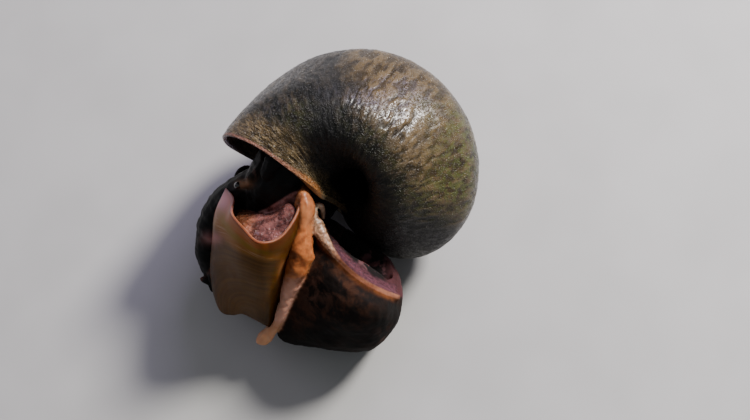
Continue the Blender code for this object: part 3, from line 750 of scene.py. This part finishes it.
def nearest_nodes(points):
    """For each point, the number in FLESH of the node that is nearest."""
    spots = []
    owner = []
    for number, name in enumerate(FLESH):
        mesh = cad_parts[name].data
        mesh.calc_loop_triangles()
        corners = np.array([v.co for v in mesh.vertices])
        triangles = corners[np.array([t.vertices for t in mesh.loop_triangles])]
        halves = [triangles[:, pair].mean(1) for pair in ([0, 1], [1, 2])]
        here = np.concatenate((corners, triangles.mean(1), *halves))
        spots.append(here)
        owner += [number] * len(here)
    spots = np.concatenate(spots)
    tree = KDTree(len(spots))
    for number, point in enumerate(spots):
        tree.insert(point, number)
    tree.balance()
    return np.array([owner[tree.find(p)[1]] for p in points])


def flesh_parts(points, edges):
    """Each point's share of each node, blended where they meet, and how slender it is."""
    owner = nearest_nodes(to_floor(points))
    shares = [(owner == number).astype(float) for number in range(len(FLESH))]
    slender = sum(share for share, name in zip(shares, FLESH) if name.startswith(SLENDER))
    soft = np.stack([*shares, slender], 1)
    for _ in range(BLEND_ROUNDS):
        soft = soft * 0.5 + average(soft, edges, len(points)) * 0.5
    return dict(zip(FLESH, soft.T)), soft[:, -1]


def smooth_out(points, edges, ease):
    """Taubin smoothing, weighted by ease."""
    for step in range(SMOOTH_STEPS):
        push = SMOOTH_IN if step % 2 == 0 else SMOOTH_OUT
        points = points + (average(points, edges, len(points)) - points) * push * ease[:, None]
    return points


def relax(points, edges, ease):
    """Even out the surface where ease is above 0."""
    near = ease > 0.002
    chosen = edges[near[edges].any(1)]
    used, number = np.unique(chosen, return_inverse=True)
    chosen = number.reshape(-1, 2)
    part = points[used]
    share = (ease[used] * RELAX_PUSH)[:, None]
    for _ in range(RELAX_STEPS):
        part = part + (average(part, chosen, len(part)) - part) * share
    points = points.copy()
    points[used] = part
    return points


def fill_creases(mesh, points, edges, ease):
    """Lift the valleys between the parts, and nothing else, weighted by ease."""
    for _ in range(CREASE_ROUNDS):
        mesh.vertices.foreach_set("co", points.ravel())
        mesh.update()
        normals = np.array([n.vector for n in mesh.vertex_normals])
        for _ in range(CREASE_STEPS):
            step = average(points, edges, len(points)) - points
            lift = np.maximum((step * normals).sum(1), 0)
            points = points + normals * (lift * ease * CREASE_PUSH)[:, None]
    return points


def flesh_relief(points, part, thin, dark, bowl):
    """Folds, lumps and grain of each part, in millimetres."""
    x, y = as_seen(points)
    along = points @ np.array(FOLD_WAY)
    folds = np.stack([along, points[:, 0] * FOLD_STRETCH, points[:, 2] * FOLD_STRETCH], 1)
    relief = part["foot_fore"] * lumps(points, *FORE_LUMPS)
    relief += part["foot_rear"] * (lumps(points, *REAR_LUMPS) + spots(x, y, REAR_SWELLING))
    relief += part["opercular_lobe"] * (lumps(points, *LOBE_LUMPS) + spots(x, y, LOBE_SWELLINGS))
    start, reach = SWELL_DEPTH
    swell = np.clip(start - points[:, 2], 0, reach) * spots(x, y, BOWL_SWELLING) - BOWL_SINK
    pebbles = (0.10 + spots(x, y, PEBBLED)) * noise(points, *BOWL_PEBBLES)
    relief += bowl * (swell + lumps(points, BOWL_LUMPS) + pebbles)
    grainy = 0.25 + 0.75 * smooth_step(2, -6, points[:, 0] + 12)
    relief += part["sole_margin"] * (lumps(points, MARGIN_LUMPS) + grainy * lumps(points, MARGIN_GRAIN))
    relief += dark * (lumps(folds, DARK_FOLDS) + lumps(points, DARK_LUMPS) + spots(x, y, HEAD_LUMP))
    relief += thin * lumps(folds * 3, THIN_FOLDS)
    return relief


def slope_below_margin(points, front):
    """The foot's slope below its bright margin, 0 to 1."""
    x, y = as_seen(points)
    beyond = beside(x, y, MARGIN_LINE)
    slope = smooth_step(*SLOPE_FAR, beyond) * smooth_step(*SLOPE_CLOSE, beyond) * front
    slope *= smooth_step(*SLOPE_ACROSS, x) * smooth_step(*UNDER_END_ACROSS, x)
    return slope * (points[:, 2] > SLOPE_SEEN)


def bowl_masks(points, part, normals):
    """The pink flesh within the operculum, and its far side, which hangs over, 0 to 1."""
    x, y = as_seen(points)
    z = points[:, 2]
    within = y - np.interp(x, *zip(*BOWL_EDGE))
    bowl = (part["foot_rear"] + part["neck"]) * smooth_step(*BOWL_START, within) * (x < BOWL_END)
    overhang = smooth_step(*OVERHANG_LEAN, normals[:, 1])
    bowl *= smooth_step(*BOWL_DEPTH, z) * np.maximum(1 - overhang, smooth_step(*OVERHANG_DEPTH, z))
    return np.clip(bowl, 0, 1), overhang


def foot_masks(x, y, z, front, fore):
    """Where the colours of the foot and its sole lie, with their painted light and painted shade, 0 to 1."""
    shown = front * (z > FOOT_SEEN)
    beyond = beside(x, y, MARGIN_LINE)
    width = np.interp(y, *zip(*MARGIN_WIDTH))
    margin = shown * smooth_step(*MARGIN_START, beyond) * smooth_step(width + 1.2, width, beyond)
    margin *= (1 - spots(x, y, LOOP_HOLE)) * smooth_step(*MARGIN_END_ACROSS, x)
    inner = shown * smooth_step(width - 0.2, width + 0.8, beyond)
    sole = inner * smooth_step(*SOLE_REACH, beyond)
    sole *= smooth_step(*SOLE_START_ACROSS, x) * smooth_step(*SOLE_END_ACROSS, x)
    under = front * smooth_step(*UNDER_REACH, beyond) * (beyond < 0) * (z > SLOPE_SEEN) * (x > UNDER_START)
    return {
        "margin": margin,
        "grainy": smooth_step(*GRAINY_ACROSS, x),
        "loop_light": margin * spots(x, y, LOOP_LIGHT_SPOT),
        "sleek": 1 - front * (1 - margin) * (z > SLEEK_SEEN),
        "inner": inner * (1 - sole),
        "flush": inner * smooth_step(*FLUSH_ACROSS, x),
        "sole": sole,
        "under": under * smooth_step(*UNDER_END_ACROSS, x),
        "foot_shade": fore * (smooth_step(*FOOT_SHADE_ACROSS, x) + smooth_step(*FOOT_SHADE_DOWN, y)),
        "rust": fore * spots(x, y, RUST),
    }


def lobe_masks(y, lobe):
    """Where the colours of the opercular lobe lie, 0 to 1."""
    return {
        "lobe": lobe,
        "ridge": lobe * smooth_step(*RIDGE_TOP, y) * smooth_step(*RIDGE_END, y),
        "pale": lobe * smooth_step(*PALE_TOP, y) * smooth_step(*PALE_END, y),
        "tip": lobe * smooth_step(*TIP_DOWN, y),
    }


def make_flesh():
    skin = fused_flesh()
    mesh = skin.data
    points = np.empty(len(mesh.vertices) * 3)
    mesh.vertices.foreach_get("co", points)
    points = to_sight(points.reshape(-1, 3))
    edges = np.empty(len(mesh.edges) * 2, np.int64)
    mesh.edges.foreach_get("vertices", edges)
    edges = edges.reshape(-1, 2)
    part, slender = flesh_parts(points, edges)
    front = np.clip(part["foot_fore"] + part["sole_margin"], 0, 1)
    points = smooth_out(points, edges, 1 - SLENDER_FIRMNESS * slender)
    firm = np.clip(slender + part["opercular_lobe"], 0, 1)
    points = fill_creases(mesh, points, edges, 1 - firm)
    points = relax(points, edges, slope_below_margin(points, front))
    mesh.vertices.foreach_set("co", to_floor(points).ravel())
    mesh.update()
    normals = np.array([n.vector for n in mesh.vertex_normals]) @ np.array(TURN)
    x, y = as_seen(points)
    thin = np.clip(sum(part[name] for name in FLESH if name.startswith(THIN)), 0, 1)
    dark = np.clip(sum(part[name] for name in DARK), 0, 1)
    bowl, overhang = bowl_masks(points, part, normals)
    masks = {
        "dark": dark,
        "thin": thin,
        "bowl": bowl,
        "bowl_warm": smooth_step(*BOWL_WARM_ACROSS, x),
        "wall": overhang,
        "pink": spots(x, y, PINK) * (x < PINK_END),
        "stalk": spots(x, y, STALK),
    }
    masks.update(foot_masks(x, y, points[:, 2], front, part["foot_fore"]))
    masks.update(lobe_masks(y, part["opercular_lobe"]))
    points = points + normals * flesh_relief(points, part, thin, dark, bowl * (1 - overhang))[:, None]
    mesh.vertices.foreach_set("co", to_floor(kept_clear(points, SKIN_CLEARANCE)).ravel())
    add_values(mesh, {name: np.clip(values, 0, 1) for name, values in masks.items()})
    mesh.shade_smooth()
    return skin


# Eyes

def make_eye(node):
    """A smooth ball in place of the node."""
    low, high = (np.array(corner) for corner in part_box(node))
    made = bmesh.new()
    bmesh.ops.create_icosphere(made, subdivisions=4, radius=EYE_RADIUS / 1000)
    mesh = bpy.data.meshes.new(node + "_ball")
    made.to_mesh(mesh)
    made.free()
    mesh.transform(Matrix.Translation((low + high) / 2))
    mesh.shade_smooth()
    return link(node + "_ball", mesh)


# Materials

class Nodes:
    """A material under construction: every method returns an output socket."""

    def __init__(self, name):
        self.material = bpy.data.materials.new(name)
        self.material.use_nodes = True
        self.tree = self.material.node_tree
        self.shader = self.tree.nodes["Principled BSDF"]

    def node(self, kind, **inputs):
        made = self.tree.nodes.new(kind)
        for key, value in inputs.items():
            self.feed(made.inputs[key], value)
        return made

    def feed(self, socket, value):
        if hasattr(value, "is_linked"):
            self.tree.links.new(value, socket)
        else:
            socket.default_value = value

    def attribute(self, name):
        made = self.tree.nodes.new("ShaderNodeAttribute")
        made.attribute_name = name
        return made.outputs["Fac"]

    def place(self):
        return self.tree.nodes.new("ShaderNodeTexCoord").outputs["Object"]

    def vector(self, x, y):
        return self.node("ShaderNodeCombineXYZ", X=x, Y=y).outputs[0]

    def noise(self, vector, scale, detail=3.0, roughness=0.55, distortion=0.0):
        made = self.node("ShaderNodeTexNoise", Vector=vector, Scale=scale, Detail=detail)
        made.inputs["Roughness"].default_value = roughness
        made.inputs["Distortion"].default_value = distortion
        return made.outputs["Fac"]

    def math(self, operation, a, b):
        made = self.tree.nodes.new("ShaderNodeMath")
        made.operation = operation
        for socket, value in zip(made.inputs, (a, b)):
            self.feed(socket, value)
        return made.outputs[0]

    def times(self, a, b):
        return self.math("MULTIPLY", a, b)

    def between(self, value, low, high, to_low=0.0, to_high=1.0):
        made = self.node("ShaderNodeMapRange", Value=value)
        made.interpolation_type = "SMOOTHSTEP"
        for key, number in (("From Min", low), ("From Max", high), ("To Min", to_low), ("To Max", to_high)):
            made.inputs[key].default_value = number
        return made.outputs[0]

    def mix(self, share, first, second):
        made = self.tree.nodes.new("ShaderNodeMix")
        made.data_type = "RGBA"
        self.feed(made.inputs["Factor"], share)
        for socket, value in zip((made.inputs[6], made.inputs[7]), (first, second)):
            self.feed(socket, (*value, 1.0) if isinstance(value, tuple) else value)
        return made.outputs[2]

    def bump(self, height, distance, strength=1.0, under=None):
        made = self.node("ShaderNodeBump", Height=height, Distance=distance, Strength=strength)
        if under is not None:
            self.tree.links.new(under, made.inputs["Normal"])
        return made.outputs[0]

    def finish(self, colour, normal=None, **values):
        self.feed(self.shader.inputs["Base Color"], (*colour, 1.0) if isinstance(colour, tuple) else colour)
        if normal is not None:
            self.tree.links.new(normal, self.shader.inputs["Normal"])
        for key, value in values.items():
            self.feed(self.shader.inputs[key.replace("_", " ")], value)
        return self.material


def shell_material():
    m = Nodes("wet shell")
    arc, round_, crest = m.attribute("arc"), m.attribute("round"), m.attribute("crest")
    place = m.place()
    cloud = m.noise(place, 110.0, 4.0, 0.6)
    grit = m.noise(place, 900.0, 4.0, 0.7)
    streak = m.noise(m.vector(m.times(arc, 1.3), m.times(round_, 30.0)), 1.0, 4.0, 0.65)
    # Painted shade: wrinkle valleys darker than their crests, on the bare shell and on the silt
    high = m.math("ADD", m.times(crest, 0.55), m.times(grit, 0.45))
    colour = m.mix(m.between(high, 0.35, 0.75), SHELL_SHADED_VALLEY, SHELL_CREST)
    silt = m.mix(m.between(high, 0.28, 0.72), SILT_SHADED_VALLEY, SILT_CREST)
    film = m.times(m.attribute("film"), m.between(cloud, 0.34, 0.60, 0.70, 1.0))
    colour = m.mix(film, colour, silt)
    # Pale growth streaks near the lip, made paler still as painted highlight for the glints there
    pale = m.times(m.between(streak, 0.50, 0.62), m.times(m.attribute("near_lip"), 0.75))
    colour = m.mix(pale, colour, STREAK_AND_GLINT_PALE)
    moss = m.noise(place, 560.0, 4.0, 0.7)
    growth = m.times(m.attribute("algae"), m.between(moss, 0.42, 0.60))
    colour = m.mix(m.times(growth, 0.65), colour, ALGAE_GREEN)
    colour = m.mix(m.times(m.attribute("apex"), m.between(cloud, 0.4, 0.6)), colour, WORN_LIME)
    # Painted shade: near black over the umbilical groove and the underside
    colour = m.mix(m.times(m.attribute("groove_shade"), 0.93), colour, BLACK_OF_SKIN_AND_SHADE)
    # Inside the aperture: the lining's colour raised as painted light near the lip, fading to painted shade
    # deeper in
    shallow = m.mix(m.between(streak, 0.4, 0.65), INSIDE_LIT_DARK, INSIDE_LIT_PALE)
    within = m.mix(m.between(arc, -26.0, -8.0), INSIDE_DEEP_SHADE, shallow)
    colour = m.mix(m.between(m.attribute("inside"), 0.55, 0.95), colour, within)
    edge = m.mix(m.attribute("lip_orange"), LIP_PINK, LIP_ORANGE)
    edge = m.mix(m.between(grit, 0.45, 0.65, 0.0, 0.4), edge, LIP_GRIME)
    colour = m.mix(m.attribute("lip"), colour, edge)
    normal = m.bump(streak, STREAK_HEIGHT, 0.7)
    normal = m.bump(m.noise(place, 420.0, 2.0), WAVE_HEIGHT, 0.6, normal)
    normal = m.bump(m.between(m.noise(place, 2300.0, 2.0), 0.50, 0.72), PIMPLE_HEIGHT, 1.0, normal)
    beads = m.between(m.noise(place, 1500.0, 2.0), 0.50, 0.70)
    normal = m.bump(beads, BEAD_HEIGHT, m.attribute("near_lip"), normal)
    rough = m.between(grit, 0.36, 0.62, 0.42, 0.18)
    rough = m.math("ADD", rough, m.times(m.attribute("near_lip"), -0.06))
    rough = m.math("ADD", rough, m.times(m.attribute("groove_shade"), 0.25))
    return m.finish(colour, normal, Roughness=rough, Specular_IOR_Level=0.34)


def operculum_material():
    m = Nodes("wet horn")
    free, ring, column = m.attribute("free"), m.attribute("ring"), m.attribute("column")
    place = m.place()
    lines = m.noise(m.vector(m.times(ring, 0.9), m.times(column, 2.0)), 1.0, 5.0, 0.65)
    fine = m.noise(m.vector(m.times(ring, 2.4), m.times(column, 3.0)), 1.0, 3.0, 0.6)
    cloud = m.noise(place, 130.0, 3.0)
    wave = m.math("ADD", free, m.between(cloud, 0.2, 0.8, -1.0, 1.0))
    colour = m.mix(m.between(lines, 0.35, 0.7), HORN_DARK, HORN_PALE)
    colour = m.mix(m.between(wave, 12.0, 8.0), colour, HORN_BROWN)
    # The horn's olive band, made paler as painted light shining through the thin horn
    colour = m.mix(m.between(wave, 7.6, 6.0), colour, HORN_OLIVE_AND_LIGHT)
    colour = m.mix(m.between(wave, 5.2, 3.2), colour, HORN_AMBER)
    colour = m.mix(m.between(free, 1.6, 0.5), colour, HORN_RIM)
    band = m.times(m.between(free, 6.6, 7.4), m.between(free, 10.5, 9.0, 0.0, 0.5))
    colour = m.mix(m.times(m.between(fine, 0.56, 0.64), band), colour, HORN_LINE)
    colour = m.mix(m.times(m.attribute("shade"), 0.88), colour, HORN_SHADE)
    # Painted highlight: a pale line along the free rim
    colour = m.mix(m.between(free, 0.8, 0.15, 0.0, 0.2), colour, HORN_EDGE_HIGHLIGHT)
    # Painted shade: the plate darker at its left end and towards its bottom
    colour = m.mix(m.times(m.attribute("dusk_shade"), 0.6), colour, HORN_DUSK_SHADE)
    # Painted sheen: a lilac reflection on the plate's left end
    colour = m.mix(m.times(m.attribute("painted_sheen"), 0.9), colour, HORN_SHEEN_LILAC)
    # Painted light: the plate paler at its lower right, where the lobe shades it
    colour = m.mix(m.times(m.attribute("painted_light"), 0.7), colour, HORN_PAINTED_LIGHT)
    colour = m.mix(m.times(m.attribute("stain"), 0.8), colour, HORN_STAIN)
    colour = m.mix(m.times(m.attribute("behind"), 0.55), colour, HORN_REAR)
    normal = m.bump(fine, HORN_LINE_HEIGHT, 0.8)
    normal = m.bump(m.noise(place, 300.0, 2.0), HORN_WAVE_HEIGHT, 0.5, normal)
    rough = m.between(cloud, 0.3, 0.7, 0.34, 0.46)
    m.shader.inputs["Subsurface Radius"].default_value = HORN_LIGHT
    m.shader.inputs["Subsurface Scale"].default_value = LIGHT_DEPTH
    return m.finish(colour, normal, Roughness=rough, Specular_IOR_Level=0.13, Subsurface_Weight=0.5)


def flesh_material():
    m = Nodes("wet flesh")
    place = m.place()
    blotch = m.noise(place, 210.0, 4.0, 0.6, 0.4)
    grain = m.noise(place, 1100.0, 4.0, 0.6)
    patch = m.noise(place, 75.0, 3.0)
    colour = m.mix(m.between(blotch, 0.42, 0.66), FOOT_BLACK, FOOT_BROWN)
    colour = m.mix(m.between(patch, 0.50, 0.70, 0.0, 0.45), colour, FOOT_PATCH)
    # Painted shade: the foot darker towards its right and its bottom
    colour = m.mix(m.times(m.attribute("foot_shade"), 0.85), colour, FOOT_SHADE_BLACK)
    rust = m.times(m.attribute("rust"), m.between(blotch, 0.40, 0.58))
    colour = m.mix(m.times(rust, 0.6), colour, FOOT_RUST)
    amber = m.mix(m.between(blotch, 0.3, 0.7), AMBER_DARK, AMBER_PALE)
    colour = m.mix(m.attribute("under"), colour, amber)
    # The pocket behind the margin: near black as painted shade, with pale pink folds
    fold = m.mix(m.between(blotch, 0.52, 0.66), FOLD_SHADE_DARK, FOLD_PALE)
    fold = m.mix(m.attribute("flush"), fold, m.mix(blotch, FLUSH_DARK, FLUSH_PALE))
    colour = m.mix(m.attribute("inner"), colour, fold)
    # The head and neck: their own dark skin, kept near black also as painted shade within the aperture
    night = m.mix(m.between(blotch, 0.50, 0.75), BLACK_OF_SKIN_AND_SHADE, HEAD_GREY)
    night = m.mix(m.between(grain, 0.64, 0.74, 0.0, 0.3), night, HEAD_SPECK)
    colour = m.mix(m.attribute("dark"), colour, night)
    colour = m.mix(m.times(m.attribute("pink"), 0.8), colour, HEAD_PINK)
    sole = m.mix(m.between(grain, 0.3, 0.7), SOLE_DARK, SOLE_PALE)
    colour = m.mix(m.attribute("sole"), colour, sole)
    pink = m.mix(m.between(blotch, 0.38, 0.60), BOWL_PINK_DARK, BOWL_PINK_PALE)
    warm = m.mix(m.between(blotch, 0.38, 0.60), BOWL_WARM_DARK, BOWL_WARM_PALE)
    # Painted light: the bowl's overhanging far side, in shade, made paler
    wall = m.mix(m.between(blotch, 0.38, 0.60), BOWL_FAR_LIT_DARK, BOWL_FAR_LIT_PALE)
    wet = m.mix(m.attribute("wall"), m.mix(m.attribute("bowl_warm"), pink, warm), wall)
    colour = m.mix(m.attribute("bowl"), colour, wet)
    orange = m.mix(m.between(blotch, 0.35, 0.65), LOBE_DARK, LOBE_ORANGE)
    brown = m.mix(m.between(blotch, 0.38, 0.62), RIDGE_DARK, RIDGE_ORANGE)
    orange = m.mix(m.attribute("ridge"), orange, brown)
    orange = m.mix(m.times(m.attribute("pale"), 0.8), orange, LOBE_PALE)
    orange = m.mix(m.attribute("tip"), orange, LOBE_TIP)
    colour = m.mix(m.attribute("lobe"), colour, orange)
    smooth_tan = m.mix(m.between(blotch, 0.35, 0.65), MARGIN_DARK, MARGIN_TAN)
    grainy_tan = m.mix(m.between(grain, 0.35, 0.65), GRAIN_DARK, GRAIN_TAN)
    colour = m.mix(m.attribute("margin"), colour, m.mix(m.attribute("grainy"), smooth_tan, grainy_tan))
    # Painted light: the margin's curled loop made paler where the shell shades it
    colour = m.mix(m.times(m.attribute("loop_light"), 0.8), colour, LOOP_LIGHT_PALE)
    slim = m.mix(m.between(blotch, 0.5, 0.65), FEELER_DARK, FEELER_BROWN)
    colour = m.mix(m.attribute("thin"), colour, slim)
    colour = m.mix(m.attribute("stalk"), colour, STALK_TAN)
    rough = m.math("ADD", m.between(patch, 0.3, 0.7, 0.26, 0.36), m.times(m.attribute("dark"), 0.25))
    rough = m.math("ADD", rough, m.times(m.attribute("thin"), 0.55))
    rough = m.math("ADD", rough, m.times(m.attribute("bowl"), -0.17))
    rough = m.math("ADD", rough, m.between(m.attribute("sleek"), 1.0, 0.0, 0.0, 0.58))
    normal = m.bump(grain, GRAIN_HEIGHT, 0.8)
    normal = m.bump(m.noise(place, 420.0, 3.0), WAVE_HEIGHT, 0.6, normal)
    pebbles = m.between(m.noise(place, 800.0, 2.0), 0.42, 0.70)
    normal = m.bump(pebbles, PEBBLE_HEIGHT, m.attribute("bowl"), normal)
    m.shader.inputs["Subsurface Radius"].default_value = SKIN_LIGHT
    m.shader.inputs["Subsurface Scale"].default_value = LIGHT_DEPTH
    return m.finish(colour, normal, Roughness=rough, Specular_IOR_Level=0.15, Subsurface_Weight=0.35)


def eye_material():
    m = Nodes("eye")
    shade = m.between(m.noise(m.place(), 900.0, 2.0), 0.4, 0.7)
    colour = m.mix(shade, EYE_BLACK, EYE_BROWN)
    return m.finish(colour, Roughness=0.08, Coat_Weight=1.0, Coat_Roughness=0.03)


# Setting

def add_light(name, way, distance, size, energy, colour):
    """A round soft lamp in a direction of the sight frame, aimed at the snail."""
    light = bpy.data.lights.new(name, "AREA")
    light.shape = "DISK"
    light.size = size
    light.energy = energy
    light.color = colour
    lamp = bpy.data.objects.new(name, light)
    bpy.context.scene.collection.objects.link(lamp)
    way = TURN @ Vector(way).normalized()
    middle = (Vector(CAD_BOX[0]) + Vector(CAD_BOX[1])) / 2
    lamp.location = middle + way * distance
    lamp.rotation_mode = "QUATERNION"
    lamp.rotation_quaternion = way.to_track_quat("Z", "Y")


def add_camera():
    """The photograph's eye: SIGHT away from the sight frame's origin, straight along its Z."""
    camera = bpy.data.objects.new("camera", bpy.data.cameras.new("camera"))
    bpy.context.scene.collection.objects.link(camera)
    camera.data.sensor_width = SENSOR
    camera.data.lens = SENSOR * SIGHT * PIXELS_PER_MM / IMAGE_WIDTH
    camera.data.clip_start = 0.01
    eye = Vector(PLACE) / 1000 + TURN @ Vector((0, 0, SIGHT / 1000))
    camera.matrix_world = Matrix.Translation(eye) @ TURN.to_4x4()
    bpy.context.scene.camera = camera


def add_floor():
    corners = [(x * FLOOR_HALF, y * FLOOR_HALF, 0) for x, y in ((-1, -1), (1, -1), (1, 1), (-1, 1))]
    mesh = bpy.data.meshes.new("floor")
    mesh.from_pydata(corners, [], [(0, 1, 2, 3)])
    m = Nodes("pale floor")
    shade = m.between(m.noise(m.place(), 30.0, 2.0), 0.3, 0.7)
    colour = m.mix(shade, FLOOR_DARK, FLOOR_PALE)
    mesh.materials.append(m.finish(colour, Roughness=0.7))
    link("floor", mesh)


def add_world(colour, strength):
    world = bpy.data.worlds.new("studio")
    bpy.context.scene.world = world
    world.use_nodes = True
    background = world.node_tree.nodes["Background"]
    background.inputs["Color"].default_value = (*colour, 1.0)
    background.inputs["Strength"].default_value = strength


add_camera()
add_floor()
add_light("sun", way=(0.56, 0.66, 0.54), distance=0.8, size=0.18, energy=16.0, colour=(1.0, 0.965, 0.92))
add_light("sky", way=(0.36, 0.86, 0.34), distance=0.9, size=0.5, energy=5.0, colour=(0.72, 0.64, 1.0))
add_light("rim", way=(-0.75, 0.55, 0.20), distance=0.8, size=0.4, energy=0.8, colour=(0.88, 0.78, 1.0))
add_world(colour=(0.90, 0.94, 1.0), strength=0.24)
for piece, material, slot, nodes in (
    (make_shell(), shell_material(), "shell", ["shell"]),
    (make_operculum(), operculum_material(), "operculum", ["operculum"]),
    (make_flesh(), flesh_material(), "flesh", FLESH),
    (make_eye("eye_left"), eye_material(), "eye", ["eye_left"]),
    (make_eye("eye_right"), eye_material(), "eye", ["eye_right"]),
):
    piece.data.materials.clear()
    piece.data.materials.append(material)
    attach(piece, "root")
    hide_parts(*nodes)
